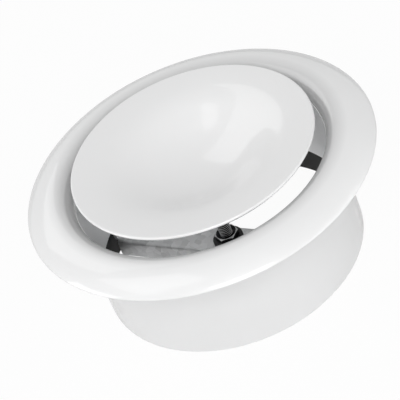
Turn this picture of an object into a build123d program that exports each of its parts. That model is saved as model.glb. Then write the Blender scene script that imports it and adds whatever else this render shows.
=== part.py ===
from build123d import *

import os
from math import cos, radians, sin, sqrt, tan

# Round disc valve for a 125 mm ceiling air duct.
# Frame: millimetres, +Z out of the ceiling into the room, origin on the valve's axis
# in the ceiling plane, where the rim of the front flange meets the ceiling.

os.makedirs("parts", exist_ok=True)

# ---------------------------------------------------------------- driving dimensions
FLANGE_R = 82.0  # outer edge of the bell-mouth flange
FLANGE_SHEET = 1.0
CREST_R = 65.8  # highest circle of the bell-mouth
CREST_Z = 7.2
DUCT_R = 62.0  # outside of the mounting collar, which the duct slips over
COLLAR_SHEET = 0.6
COLLAR_END_Z = -54.0
NECK_R = 59.4  # inside of the neck sleeve, the clear throat of the valve
NECK_SHEET = 0.6
NECK_END_Z = -40.0
DISC_R = 57.0
DISC_RIM_Z = 12.5  # top of the disc's rim, as the valve stands open
DISC_SHEET = 0.9
THREAD_R = 3.0  # M6 spindle
THREAD_FIT = 0.05  # radial clearance of every nut and boss on the spindle
NUT_FLATS = 10.0  # M6 hexagon across flats
FULL_NUT = 5.0
THIN_NUT = 3.2
BRIDGE_ANGLE = 140.0  # azimuth of one arm of the bridge
STRAP_TOP_Z = -45.0
STRAP_SHEET = 1.2
CLIP_COUNT = 3

# ---------------------------------------------------------------- worked-out sizes
COLLAR_BORE_R = DUCT_R - COLLAR_SHEET
NECK_OUT_R = NECK_R + NECK_SHEET
THREADED_BORE_R = THREAD_R + THREAD_FIT
NUT_CORNER_R = NUT_FLATS / sqrt(3)
THROAT_BEND_R = CREST_R - NECK_R
THROAT_BEND_Z = CREST_Z - THROAT_BEND_R
STRAP_BOTTOM_Z = STRAP_TOP_Z - STRAP_SHEET


def nut_blank(top_z, height, flats=NUT_FLATS, bore_r=THREADED_BORE_R):
    """Hexagon nut standing on the Z axis, its corners turned off at 30 degrees on both faces."""
    corner_r = flats / sqrt(3)
    corner_drop = (corner_r - flats / 2) * sin(radians(30)) / cos(radians(30))
    bottom_z = top_z - height
    with BuildPart() as nut:
        with BuildSketch(Plane.XY.offset(bottom_z)):
            RegularPolygon(radius=corner_r, side_count=6)
            Circle(bore_r, mode=Mode.SUBTRACT)
        extrude(amount=height)
        with BuildSketch(Plane.XZ):
            Polygon(
                (0, bottom_z),
                (flats / 2, bottom_z),
                (corner_r, bottom_z + corner_drop),
                (corner_r, top_z - corner_drop),
                (flats / 2, top_z),
                (0, top_z),
                align=None,
            )
        revolve(axis=Axis.Z, mode=Mode.INTERSECT)
    return nut.part


# ================================================================ mounting ring, fixed to the ceiling
# Tube that goes into the duct, with an out-turned fixing flange that is hidden
# under the bell-mouth and screwed to the ceiling through four holes.
FIXING_FLANGE_R = 75.6
FIXING_SHEET = 0.8
FIXING_BEND_R = 1.6
FIXING_HOLE_PCD_R = 69.5
FIXING_HOLE_R = 2.25
FIXING_HOLE_COUNT = 4
COLLAR_EDGE_R = 0.15

with BuildPart() as mounting_collar:
    with BuildSketch(Plane.XZ):
        with BuildLine():
            Polyline(
                (COLLAR_BORE_R, FIXING_SHEET),
                (COLLAR_BORE_R, COLLAR_END_Z),
                (DUCT_R, COLLAR_END_Z),
                (DUCT_R, -FIXING_BEND_R),
            )
            bend = TangentArc(
                (DUCT_R, -FIXING_BEND_R), (DUCT_R + FIXING_BEND_R, 0), tangent=(0, 1)
            )
            Polyline(
                bend @ 1,
                (FIXING_FLANGE_R, 0),
                (FIXING_FLANGE_R, FIXING_SHEET),
                (COLLAR_BORE_R, FIXING_SHEET),
            )
        make_face()
    revolve(axis=Axis.Z)
    collar_end = mounting_collar.edges().filter_by(GeomType.CIRCLE).group_by(Axis.Z)[0]
    fillet(collar_end, COLLAR_EDGE_R)
    flange_mouth = mounting_collar.edges().filter_by(GeomType.CIRCLE).group_by(Axis.Z)[-1]
    fillet(flange_mouth.sort_by(SortBy.RADIUS)[0], 2 * COLLAR_EDGE_R)
    with BuildSketch(Plane.XY):
        with PolarLocations(FIXING_HOLE_PCD_R, FIXING_HOLE_COUNT, start_angle=45):
            Circle(FIXING_HOLE_R)
    extrude(amount=FIXING_SHEET, mode=Mode.SUBTRACT)

mounting_collar.part.label = "mounting_collar"
export_step(mounting_collar.part, "parts/mounting_collar.step")

# ================================================================ valve body
# Bell-mouth flange: one pressed sheet, domed on the room side and hollow behind,
# turned in through a quarter bend to the throat.
FLANGE_EDGE_R = 81.3
FLANGE_EDGE_Z = 1.2
THROAT_END_Z = -0.2

with BuildPart() as flange_ring:
    with BuildSketch(Plane.XZ):
        with BuildLine():
            throat = Line((NECK_R, THROAT_END_Z), (NECK_R, THROAT_BEND_Z))
            bell = TangentArc(throat @ 1, (CREST_R, CREST_Z), tangent=(0, 1))
            dome = TangentArc(bell @ 1, (FLANGE_EDGE_R, FLANGE_EDGE_Z), tangent=(1, 0))
            ThreePointArc(dome @ 1, (FLANGE_R - 0.2, 0.65), (FLANGE_R, 0))
            offset(amount=FLANGE_SHEET, side=Side.RIGHT)
        make_face()
    revolve(axis=Axis.Z)

flange_ring.part.label = "flange_ring"
export_step(flange_ring.part, "parts/flange_ring.step")

# Neck sleeve: thin bright tube that carries on from the throat, with a small rolled
# bead at its mouth, and holes for the rivets of the clips and the bridge.
BEAD_R = 0.5
CLIP_RIVET_Z = -17.0
RIVET_R = 1.5
RIVET_FIT = 0.05
BRIDGE_RIVET_Z = -33.5
BRIDGE_RIVET_SPREAD = 4.4  # degrees each side of the arm's centre line


def radial_plane(angle, height):
    """Plane on the Z axis at that height, looking outwards at that azimuth."""
    outward = (cos(radians(angle)), sin(radians(angle)), 0)
    return Plane(origin=(0, 0, height), x_dir=(0, 0, 1), z_dir=outward)


clip_angles = [360 / CLIP_COUNT * i for i in range(CLIP_COUNT)]
arm_angles = [BRIDGE_ANGLE, BRIDGE_ANGLE + 180]
clip_rivet_planes = [radial_plane(a, CLIP_RIVET_Z) for a in clip_angles]
bridge_rivet_planes = [
    radial_plane(a + side * BRIDGE_RIVET_SPREAD, BRIDGE_RIVET_Z)
    for a in arm_angles
    for side in (-1, 1)
]

with BuildPart() as neck_sleeve:
    with BuildSketch(Plane.XZ):
        with Locations((NECK_R, NECK_END_Z)):
            Rectangle(
                NECK_SHEET, THROAT_END_Z - NECK_END_Z, align=(Align.MIN, Align.MIN)
            )
        with Locations((NECK_R + 0.2, THROAT_END_Z - BEAD_R)):
            Circle(BEAD_R)
        with Locations((NECK_OUT_R, THROAT_END_Z - 2 * BEAD_R)):
            Rectangle(3 * BEAD_R, 3 * BEAD_R, align=(Align.MIN, Align.MIN), mode=Mode.SUBTRACT)
    revolve(axis=Axis.Z)
    for plane in clip_rivet_planes + bridge_rivet_planes:
        with BuildSketch(plane):
            Circle(RIVET_R + RIVET_FIT)
        extrude(amount=DUCT_R, mode=Mode.SUBTRACT)

neck_sleeve.part.label = "neck_sleeve"
export_step(neck_sleeve.part, "parts/neck_sleeve.step")

# Foam ring that seals the edge of the flange to the ceiling. It is glued in the
# hollow behind the edge, so its front follows the inside of the dome.
GASKET_R = 76.6
GASKET_CREST_R = 79.3
dome_centre = dome.arc_center
GASKET_ARC_R = dome.radius - FLANGE_SHEET - 0.05


def dome_inside(r):
    """Height of the dome's hollow side at radius r."""
    return dome_centre.Y + sqrt(GASKET_ARC_R**2 - (r - dome_centre.X) ** 2)


with BuildPart() as flange_gasket:
    with BuildSketch(Plane.XZ):
        with BuildLine():
            middle_r = (GASKET_R + GASKET_CREST_R) / 2
            ThreePointArc(
                (GASKET_R, dome_inside(GASKET_R)),
                (middle_r, dome_inside(middle_r)),
                (GASKET_CREST_R, dome_inside(GASKET_CREST_R)),
            )
            Polyline(
                (GASKET_CREST_R, dome_inside(GASKET_CREST_R)),
                (GASKET_CREST_R, 0),
                (GASKET_R, 0),
                (GASKET_R, dome_inside(GASKET_R)),
            )
        make_face()
    revolve(axis=Axis.Z)

flange_gasket.part.label = "flange_gasket"
export_step(flange_gasket.part, "parts/flange_gasket.step")

# Rubber cuff drawn over the end of the neck. It reaches past the neck almost to the
# end of the collar and stops air between the two.
NECK_SEAL_TOP_Z = -36.6
NECK_SEAL_WIDTH = 17.3
NECK_SEAL_SHEET = 1.0

with BuildPart() as neck_seal:
    with BuildSketch(Plane.XZ):
        with Locations((NECK_OUT_R, NECK_SEAL_TOP_Z)):
            Rectangle(NECK_SEAL_SHEET, NECK_SEAL_WIDTH, align=(Align.MIN, Align.MAX))
    revolve(axis=Axis.Z)

neck_seal.part.label = "neck_seal"
export_step(neck_seal.part, "parts/neck_seal.step")

# Three leaf springs, riveted to the neck, which grip the inside of the collar.
# Each is a strip bent to the curve of the neck, with a belly in its free half.
CLIP_SHEET = 0.4
CLIP_BELLY_R = 61.05
CLIP_TOP_Z = -13.5
CLIP_FLAT_END_Z = -21.0
CLIP_BELLY_Z = -28.0
CLIP_END_Z = -35.0
CLIP_WIDTH_DEGREES = 10.0
clip_inner_belly_r = CLIP_BELLY_R - CLIP_SHEET

for number, angle in enumerate(clip_angles, start=1):
    edge_plane = Plane.XZ.rotated((0, 0, angle - CLIP_WIDTH_DEGREES / 2))
    with BuildPart() as spring_clip:
        with BuildSketch(edge_plane):
            with BuildLine():
                flat = Line((NECK_OUT_R, CLIP_TOP_Z), (NECK_OUT_R, CLIP_FLAT_END_Z))
                belly = ThreePointArc(
                    flat @ 1,
                    (clip_inner_belly_r, CLIP_BELLY_Z),
                    (NECK_OUT_R + 0.1, CLIP_END_Z),
                )
                offset(amount=CLIP_SHEET, side=Side.LEFT)
            make_face()
        revolve(axis=Axis.Z, revolution_arc=CLIP_WIDTH_DEGREES)
        with BuildSketch(clip_rivet_planes[number - 1]):
            Circle(RIVET_R + RIVET_FIT)
        extrude(amount=DUCT_R, mode=Mode.SUBTRACT)
    spring_clip.part.label = f"spring_clip_{number}"
    export_step(spring_clip.part, f"parts/spring_clip_{number}.step")

# Rivets of the clips: flat head inside the neck, set head outside on the spring.
RIVET_HEAD_R = 2.7
RIVET_HEAD_HEIGHT = 0.7
CLIP_RIVET_TAIL_R = 2.3
CLIP_SET_R = 60.95  # how far out from the valve's axis the set heads reach
clip_leaf_out_r = NECK_OUT_R + CLIP_SHEET
rivet_seat_r = sqrt(NECK_R**2 - RIVET_HEAD_R**2)  # a flat head clears the curved wall

with BuildPart() as clip_rivets:
    for plane in clip_rivet_planes:
        with BuildSketch(plane.offset(rivet_seat_r - RIVET_HEAD_HEIGHT)):
            Circle(RIVET_HEAD_R)
        extrude(amount=RIVET_HEAD_HEIGHT)
        with BuildSketch(plane.offset(rivet_seat_r)):
            Circle(RIVET_R)
        extrude(amount=clip_leaf_out_r - rivet_seat_r)
        with BuildSketch(plane.offset(clip_leaf_out_r)):
            Circle(CLIP_RIVET_TAIL_R)
        extrude(amount=CLIP_SET_R - clip_leaf_out_r)

clip_rivets.part.label = "clip_rivets"
export_step(clip_rivets.part, "parts/clip_rivets.step")

# Bridge: a strap across the end of the neck that carries the threaded hub. Its long
# edges are turned down, which stiffens it, and its ends are turned up along the wall
# and riveted to it.
STRAP_WIDTH = 17.0
STRAP_END_R = 57.3
STRAP_CORNER_R = 2.0
LIP_HEIGHT = 8.6  # from the top of the strap down to the edge of a lip
LIP_BEND_R = 1.0
EAR_WIDTH = 14.0
EAR_SHEET = STRAP_SHEET
EAR_TOP_Z = -29.0
EAR_CORNER_R = 2.0
HUB_SPIGOT_R = 6.5
ear_out_r = NECK_R - 0.05
ear_in_r = ear_out_r - EAR_SHEET

with BuildPart() as bridge:
    with BuildSketch(Plane.XY.offset(STRAP_BOTTOM_Z)):
        Rectangle(2 * STRAP_END_R, STRAP_WIDTH)
        Rectangle(2 * ear_out_r, EAR_WIDTH)
        Circle(ear_out_r, mode=Mode.INTERSECT)
        Circle(HUB_SPIGOT_R, mode=Mode.SUBTRACT)
    extrude(amount=STRAP_SHEET)
    with BuildSketch(Plane.XY.offset(STRAP_TOP_Z - LIP_HEIGHT)):
        Rectangle(2 * STRAP_END_R, STRAP_WIDTH)
        Rectangle(2 * STRAP_END_R, STRAP_WIDTH - 2 * STRAP_SHEET, mode=Mode.SUBTRACT)
    extrude(amount=LIP_HEIGHT)
    folds = bridge.edges().filter_by(Axis.X).filter_by(
        lambda edge: abs(edge.center().Z - STRAP_TOP_Z) < 0.01
        and abs(abs(edge.center().Y) - STRAP_WIDTH / 2) < 0.01
    )
    fillet(folds, LIP_BEND_R)
    lip_corners = bridge.edges().filter_by(Axis.Y).filter_by(
        lambda edge: abs(edge.center().Z - STRAP_TOP_Z + LIP_HEIGHT) < 0.01
        and abs(abs(edge.center().X) - STRAP_END_R) < 0.01
    )
    fillet(lip_corners, STRAP_CORNER_R)
    with BuildSketch(Plane.XY.offset(STRAP_BOTTOM_Z)):
        Circle(ear_out_r)
        Circle(ear_in_r, mode=Mode.SUBTRACT)
        Rectangle(2 * ear_out_r, EAR_WIDTH, mode=Mode.INTERSECT)
    extrude(amount=EAR_TOP_Z - STRAP_BOTTOM_Z)
    ear_corners = bridge.edges().filter_by(
        lambda edge: abs(edge.center().Z - EAR_TOP_Z) < 0.01
        and abs(abs(edge.center().Y) - EAR_WIDTH / 2) < 0.01
    )
    fillet(ear_corners, EAR_CORNER_R)
bridge_part = bridge.part.rotate(Axis.Z, BRIDGE_ANGLE)

with BuildPart() as bridge:
    add(bridge_part)
    for plane in bridge_rivet_planes:
        with BuildSketch(plane):
            Circle(RIVET_R + RIVET_FIT)
        extrude(amount=DUCT_R, mode=Mode.SUBTRACT)

bridge.part.label = "bridge"
export_step(bridge.part, "parts/bridge.step")

# Four rivets that hold the ears of the bridge to the neck.
BRIDGE_SET_R = 60.9
ear_seat_r = sqrt(ear_in_r**2 - RIVET_HEAD_R**2)

with BuildPart() as bridge_rivets:
    for plane in bridge_rivet_planes:
        with BuildSketch(plane.offset(ear_seat_r - RIVET_HEAD_HEIGHT)):
            Circle(RIVET_HEAD_R)
        extrude(amount=RIVET_HEAD_HEIGHT)
        with BuildSketch(plane.offset(ear_seat_r)):
            Circle(RIVET_R)
        extrude(amount=NECK_OUT_R - ear_seat_r)
        with BuildSketch(plane.offset(NECK_OUT_R)):
            Circle(CLIP_RIVET_TAIL_R)
        extrude(amount=BRIDGE_SET_R - NECK_OUT_R)

bridge_rivets.part.label = "bridge_rivets"
export_step(bridge_rivets.part, "parts/bridge_rivets.step")

# Hub: black bush pressed through the strap and spread below it. Its hexagon pocket
# keeps the captive nut from turning.
HUB_R = 7.2
HUB_TOP_Z = -43.2
HUB_BOTTOM_Z = -47.8
HUB_BORE_R = 3.5
CAPTIVE_NUT_TOP_Z = -40.4
CAPTIVE_NUT_TURN = BRIDGE_ANGLE + 30  # two of its flats run along the strap
captive_nut_bottom_z = CAPTIVE_NUT_TOP_Z - FULL_NUT

with BuildPart() as bridge_hub:
    with BuildSketch(Plane.XZ):
        Polygon(
            (0, HUB_BOTTOM_Z),
            (HUB_R, HUB_BOTTOM_Z),
            (HUB_R, STRAP_BOTTOM_Z),
            (HUB_SPIGOT_R, STRAP_BOTTOM_Z),
            (HUB_SPIGOT_R, STRAP_TOP_Z),
            (HUB_R, STRAP_TOP_Z),
            (HUB_R, HUB_TOP_Z),
            (0, HUB_TOP_Z),
            align=None,
        )
    revolve(axis=Axis.Z)
    hub_rims = bridge_hub.edges().filter_by(GeomType.CIRCLE).group_by(Axis.Z)
    chamfer(hub_rims[0] + hub_rims[-1], 0.4)
    with BuildSketch(Plane.XY.offset(captive_nut_bottom_z)):
        RegularPolygon(radius=NUT_CORNER_R, side_count=6, rotation=CAPTIVE_NUT_TURN)
    extrude(until=Until.LAST, mode=Mode.SUBTRACT)
    with BuildSketch(Plane.XY.offset(HUB_BOTTOM_Z)):
        Circle(HUB_BORE_R)
    extrude(until=Until.LAST, mode=Mode.SUBTRACT)

bridge_hub.part.label = "bridge_hub"
export_step(bridge_hub.part, "parts/bridge_hub.step")

# Captive nut: the thread that the spindle turns in.
with BuildPart() as captive_nut:
    add(nut_blank(CAPTIVE_NUT_TOP_Z, FULL_NUT).rotate(Axis.Z, CAPTIVE_NUT_TURN))

captive_nut.part.label = "captive_nut"
export_step(captive_nut.part, "parts/captive_nut.step")

# ================================================================ spindle
# Threaded rod, drawn as its outer cylinder, with a groove near the tail for the
# end clip, which stops the spindle from being unscrewed out of the hub.
SPINDLE_TOP_Z = -4.4
SPINDLE_TAIL_Z = -53.4
GROOVE_R = 2.3
END_CLIP_SHEET = 0.6
END_CLIP_TOP_Z = -52.0
END_CLIP_R = 4.8
END_CLIP_MOUTH = 3.4

with BuildPart() as spindle:
    with BuildSketch(Plane.XY.offset(SPINDLE_TAIL_Z)):
        Circle(THREAD_R)
    extrude(amount=SPINDLE_TOP_Z - SPINDLE_TAIL_Z)
    chamfer(spindle.edges().filter_by(GeomType.CIRCLE), 0.5)
    with BuildSketch(Plane.XY.offset(END_CLIP_TOP_Z)):
        Circle(THREAD_R + 1)
        Circle(GROOVE_R, mode=Mode.SUBTRACT)
    extrude(amount=-END_CLIP_SHEET, mode=Mode.SUBTRACT)

spindle.part.label = "spindle"
export_step(spindle.part, "parts/spindle.step")

with BuildPart() as end_clip:
    with BuildSketch(Plane.XY.offset(END_CLIP_TOP_Z)):
        Circle(END_CLIP_R)
        Circle(THREAD_R + 0.5, mode=Mode.SUBTRACT)
        with PolarLocations(GROOVE_R + 1.4, 3, start_angle=60):
            Rectangle(2.6, 2.2)
        Circle(GROOVE_R + 0.05, mode=Mode.SUBTRACT)
        with Locations((END_CLIP_R, 0)):
            Rectangle(2 * END_CLIP_MOUTH, END_CLIP_MOUTH, mode=Mode.SUBTRACT)
    extrude(amount=-END_CLIP_SHEET)

end_clip.part.label = "end_clip"
export_step(end_clip.part, "parts/end_clip.step")

# ================================================================ disc
# Dished front plate: a shallow bowl, a straight cone round it, a shoulder that bends
# over to a nearly flat margin, and a round curled rim.
BOWL_EDGE_R = 26.0
SHOULDER_R = 34.0
MARGIN_R = 46.0
CONE_SLOPE = radians(25)
MARGIN_SLOPE = radians(8)
RIM_CURL_R = 0.8
rim_centre_r = DISC_R - RIM_CURL_R
rim_centre_z = DISC_RIM_Z - RIM_CURL_R
curl_start_r = rim_centre_r - RIM_CURL_R * sin(MARGIN_SLOPE)
curl_start_z = rim_centre_z + RIM_CURL_R * cos(MARGIN_SLOPE)
margin_z = curl_start_z - (curl_start_r - MARGIN_R) * tan(MARGIN_SLOPE)
shoulder_bend_r = (MARGIN_R - SHOULDER_R) / (sin(CONE_SLOPE) - sin(MARGIN_SLOPE))
shoulder_z = margin_z - shoulder_bend_r * (cos(MARGIN_SLOPE) - cos(CONE_SLOPE))
bowl_edge_z = shoulder_z - (SHOULDER_R - BOWL_EDGE_R) * tan(CONE_SLOPE)
bowl_r = BOWL_EDGE_R / sin(CONE_SLOPE)
bowl_centre_z = bowl_edge_z + bowl_r * cos(CONE_SLOPE)

with BuildPart() as valve_disc:
    with BuildSketch(Plane.XZ):
        with BuildLine():
            bowl = TangentArc(
                (0, bowl_centre_z - bowl_r), (BOWL_EDGE_R, bowl_edge_z), tangent=(1, 0)
            )
            cone = Line(bowl @ 1, (SHOULDER_R, shoulder_z))
            shoulder = TangentArc(cone @ 1, (MARGIN_R, margin_z), tangent=cone % 1)
            Line(shoulder @ 1, (curl_start_r, curl_start_z))
            offset(amount=DISC_SHEET, side=Side.RIGHT)
        make_face()
        with Locations((rim_centre_r, rim_centre_z)):
            Circle(RIM_CURL_R)
    revolve(axis=Axis.Z)

valve_disc.part.label = "valve_disc"
export_step(valve_disc.part, "parts/valve_disc.step")

# Foam ring glued to the back of the margin, just inside the curled rim.
DISC_SEAL_IN_R = 51.5
DISC_SEAL_OUT_R = 55.3
DISC_SEAL_BOTTOM_Z = 9.6
GLUE_GAP = 0.02


def margin_back(r):
    """Height of the back of the disc's margin at radius r."""
    front_z = margin_z + (r - MARGIN_R) * tan(MARGIN_SLOPE)
    return front_z - (DISC_SHEET + GLUE_GAP) / cos(MARGIN_SLOPE)


with BuildPart() as disc_seal:
    with BuildSketch(Plane.XZ):
        Polygon(
            (DISC_SEAL_IN_R, margin_back(DISC_SEAL_IN_R)),
            (DISC_SEAL_OUT_R, margin_back(DISC_SEAL_OUT_R)),
            (DISC_SEAL_OUT_R, DISC_SEAL_BOTTOM_Z),
            (DISC_SEAL_IN_R, DISC_SEAL_BOTTOM_Z),
            align=None,
        )
    revolve(axis=Axis.Z)

disc_seal.part.label = "disc_seal"
export_step(disc_seal.part, "parts/disc_seal.step")

# Round stiffening plate, pressed to the curve of the bowl and welded to its back.
PLATE_R = 19.0
PLATE_SHEET = 1.2
BOSS_R = 6.5
plate_front_r = bowl_r + DISC_SHEET + GLUE_GAP
plate_back_r = plate_front_r + PLATE_SHEET


def bowl_shell(r, shell_r):
    """Height at radius r of the sphere of radius shell_r round the bowl's centre."""
    return bowl_centre_z - sqrt(shell_r**2 - r**2)


with BuildPart() as disc_plate:
    with BuildSketch(Plane.XZ):
        with BuildLine():
            plate_middle_r = (BOSS_R + PLATE_R) / 2
            ThreePointArc(
                (BOSS_R, bowl_shell(BOSS_R, plate_front_r)),
                (plate_middle_r, bowl_shell(plate_middle_r, plate_front_r)),
                (PLATE_R, bowl_shell(PLATE_R, plate_front_r)),
            )
            Line(
                (PLATE_R, bowl_shell(PLATE_R, plate_front_r)),
                (PLATE_R, bowl_shell(PLATE_R, plate_back_r)),
            )
            ThreePointArc(
                (PLATE_R, bowl_shell(PLATE_R, plate_back_r)),
                (plate_middle_r, bowl_shell(plate_middle_r, plate_back_r)),
                (BOSS_R, bowl_shell(BOSS_R, plate_back_r)),
            )
            Line(
                (BOSS_R, bowl_shell(BOSS_R, plate_back_r)),
                (BOSS_R, bowl_shell(BOSS_R, plate_front_r)),
            )
        make_face()
    revolve(axis=Axis.Z)

disc_plate.part.label = "disc_plate"
export_step(disc_plate.part, "parts/disc_plate.step")

# Threaded boss, welded into the plate, that takes the front end of the spindle.
BOSS_BOTTOM_Z = -8.0
BOSS_BLIND_Z = -4.2
boss_top_z = bowl_shell(0, plate_front_r)

with BuildPart() as disc_boss:
    with BuildSketch(Plane.XY.offset(BOSS_BOTTOM_Z)):
        Circle(BOSS_R)
    extrude(amount=boss_top_z - BOSS_BOTTOM_Z)
    boss_foot = disc_boss.edges().filter_by(GeomType.CIRCLE).group_by(Axis.Z)[0]
    chamfer(boss_foot, 0.6)
    with BuildSketch(Plane.XY.offset(BOSS_BOTTOM_Z)):
        Circle(THREADED_BORE_R)
    extrude(amount=BOSS_BLIND_Z - BOSS_BOTTOM_Z, mode=Mode.SUBTRACT)

disc_boss.part.label = "disc_boss"
export_step(disc_boss.part, "parts/disc_boss.step")

# Thin nut that jams the spindle in the boss.
with BuildPart() as jam_nut:
    add(nut_blank(BOSS_BOTTOM_Z, THIN_NUT))

jam_nut.part.label = "jam_nut"
export_step(jam_nut.part, "parts/jam_nut.step")

# ================================================================ lock nut
# Nut with a nylon ring in its crown. It is run down the spindle onto the captive
# nut to lock the opening, and is drawn backed off towards the disc.
LOCK_NUT_TOP_Z = -21.8
LOCK_HEX_HEIGHT = 4.4
CROWN_HEIGHT = 1.2
CROWN_R = 4.6
INSERT_R = 3.9
INSERT_HEIGHT = 1.1
hex_top_z = LOCK_NUT_TOP_Z - CROWN_HEIGHT

with BuildPart() as lock_nut:
    add(nut_blank(hex_top_z, LOCK_HEX_HEIGHT))
    with BuildSketch(Plane.XY.offset(hex_top_z)):
        Circle(CROWN_R)
        Circle(INSERT_R, mode=Mode.SUBTRACT)
    extrude(amount=CROWN_HEIGHT)
    crown_edge = lock_nut.edges().filter_by(GeomType.CIRCLE).group_by(Axis.Z)[-1]
    fillet(crown_edge.sort_by(SortBy.RADIUS)[-1], 0.4)

lock_nut.part.label = "lock_nut"
export_step(lock_nut.part, "parts/lock_nut.step")

with BuildPart() as lock_nut_insert:
    with BuildSketch(Plane.XY.offset(hex_top_z + GLUE_GAP)):
        Circle(INSERT_R - THREAD_FIT)
        Circle(THREADED_BORE_R, mode=Mode.SUBTRACT)
    extrude(amount=INSERT_HEIGHT - GLUE_GAP)

lock_nut_insert.part.label = "lock_nut_insert"
export_step(lock_nut_insert.part, "parts/lock_nut_insert.step")
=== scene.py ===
from math import asin, cos, degrees, pi, radians, sin, sqrt, tan

import bmesh
import bpy
from mathutils import Matrix, Vector


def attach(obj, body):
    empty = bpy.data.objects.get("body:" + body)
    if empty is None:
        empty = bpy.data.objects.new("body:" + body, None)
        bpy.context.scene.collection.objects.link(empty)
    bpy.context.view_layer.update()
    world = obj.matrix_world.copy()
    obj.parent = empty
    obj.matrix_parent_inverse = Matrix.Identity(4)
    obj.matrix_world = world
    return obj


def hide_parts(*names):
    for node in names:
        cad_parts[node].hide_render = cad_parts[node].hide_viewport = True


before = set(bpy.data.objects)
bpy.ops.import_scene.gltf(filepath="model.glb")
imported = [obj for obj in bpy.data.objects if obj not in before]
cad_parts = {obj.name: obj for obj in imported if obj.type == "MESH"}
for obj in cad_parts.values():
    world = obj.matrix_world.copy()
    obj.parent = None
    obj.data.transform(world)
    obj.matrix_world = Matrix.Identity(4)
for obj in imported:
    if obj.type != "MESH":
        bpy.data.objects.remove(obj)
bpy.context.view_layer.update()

# ---------------------------------------------------------------- mounting collar
# A thin steel tube with an out-turned fixing flange at the ceiling, stove-enamelled
# white inside and out. The duct slips over the tube, and four screws go through the
# flange into the ceiling. All lengths below are in millimetres until a mesh is placed.
MM = 0.001
TURN_STEPS = 240


def start(bm, r, z):
    """First point of a section, at radius r and height z."""
    return bm.verts.new((r, 0, z))


def run(bm, point, r, z):
    """Draws the section on in a straight line to radius r and height z."""
    drawn = bmesh.ops.extrude_vert_indiv(bm, verts=[point])["verts"][0]
    drawn.co = (r, 0, z)
    return drawn


def bend(bm, point, centre_r, centre_z, turned, steps=8):
    """Draws the section on round a centre, anticlockwise for positive degrees."""
    centre = (centre_r, 0, centre_z)
    swept = bmesh.ops.spin(bm, geom=[point], cent=centre, axis=(0, -1, 0), angle=radians(turned), steps=steps)
    return swept["geom_last"][0]


def rounded(bm, geom, size, segments, affect):
    """Rounds chosen corners or edges by the given width."""
    bmesh.ops.bevel(
        bm, geom=geom, offset=size, offset_type="OFFSET", affect=affect,
        segments=segments, profile=0.5, material=-1,
    )


def soften(bm, corners, size, segments=3):
    """Rounds chosen corners of a section before it is turned."""
    rounded(bm, corners, size, segments, "VERTICES")


def turned(bm, steps=TURN_STEPS, sweep=360):
    """Spins the section about the valve's axis, closes its poles and faces it outwards."""
    whole = sweep == 360
    section = bm.verts[:] + bm.edges[:]
    bmesh.ops.spin(
        bm, geom=section, cent=(0, 0, 0), axis=(0, 0, 1), angle=radians(sweep), steps=steps, use_merge=whole
    )
    bmesh.ops.remove_doubles(bm, verts=bm.verts[:], dist=0.0005)
    if not whole:
        bmesh.ops.holes_fill(bm, edges=bm.edges[:], sides=0)
    bmesh.ops.recalc_face_normals(bm, faces=bm.faces[:])


def swung(bm, angle, about="Z"):
    """Turns the whole mesh by degrees about an axis through the middle."""
    bmesh.ops.rotate(bm, cent=(0, 0, 0), matrix=Matrix.Rotation(radians(angle), 3, about), verts=bm.verts[:])


def finished(name, bm, material, slot, body, *nodes, sharp=32):
    """Places a mesh drawn in millimetres as one piece, with its finish, body and CAD nodes."""
    bmesh.ops.scale(bm, vec=(MM, MM, MM), verts=bm.verts[:])
    mesh = bpy.data.meshes.new(name)
    bm.to_mesh(mesh)
    bm.free()
    mesh.materials.append(material)
    mesh.shade_smooth()
    mesh.set_sharp_from_angle(angle=radians(sharp))
    piece = bpy.data.objects.new(name, mesh)
    bpy.context.scene.collection.objects.link(piece)
    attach(piece, body)
    if nodes:
        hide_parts(*nodes)
    return piece


def cut(bm, tool, how="DIFFERENCE"):
    """Takes a tool shape out of a blank, or keeps only what both share."""
    blanks = []
    for label, shape in (("blank", bm), ("tool", tool)):
        mesh = bpy.data.meshes.new(label)
        shape.to_mesh(mesh)
        shape.free()
        blanks.append(bpy.data.objects.new(label, mesh))
        bpy.context.scene.collection.objects.link(blanks[-1])
    blank, cutter = blanks
    boolean = blank.modifiers.new("cut", "BOOLEAN")
    boolean.operation, boolean.solver, boolean.object = how, "EXACT", cutter
    result = bmesh.new()
    result.from_object(blank, bpy.context.evaluated_depsgraph_get())
    for spent in blanks:
        mesh = spent.data
        bpy.data.objects.remove(spent)
        bpy.data.meshes.remove(mesh)
    return result


def shader(name):
    """New material, with its node tree and its Principled shader."""
    material = bpy.data.materials.new(name)
    material.use_nodes = True
    tree = material.node_tree
    return material, tree, tree.nodes["Principled BSDF"]


def node(tree, kind, **values):
    """Adds a node, sets its properties by name and its input sockets by label."""
    made = tree.nodes.new("ShaderNode" + kind)
    for key, value in values.items():
        if hasattr(made, key):
            setattr(made, key, value)
        else:
            made.inputs[key.replace("_", " ")].default_value = value
    return made


def effect(name, inputs, outputs):
    """New node group with named inputs and outputs, for an effect several finishes share."""
    tree = bpy.data.node_groups.new(name, "ShaderNodeTree")
    for label, kind, value in inputs:
        socket = tree.interface.new_socket(label, in_out="INPUT", socket_type="NodeSocket" + kind)
        if value is not None:
            socket.default_value = value
    for label, kind in outputs:
        tree.interface.new_socket(label, in_out="OUTPUT", socket_type="NodeSocket" + kind)
    return tree, tree.nodes.new("NodeGroupInput"), tree.nodes.new("NodeGroupOutput")


def placed(tree, group, **values):
    """Puts a node group into a material, with its own values."""
    made = tree.nodes.new("ShaderNodeGroup")
    made.node_tree = group
    for key, value in values.items():
        made.inputs[key.replace("_", " ")].default_value = value
    return made


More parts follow.
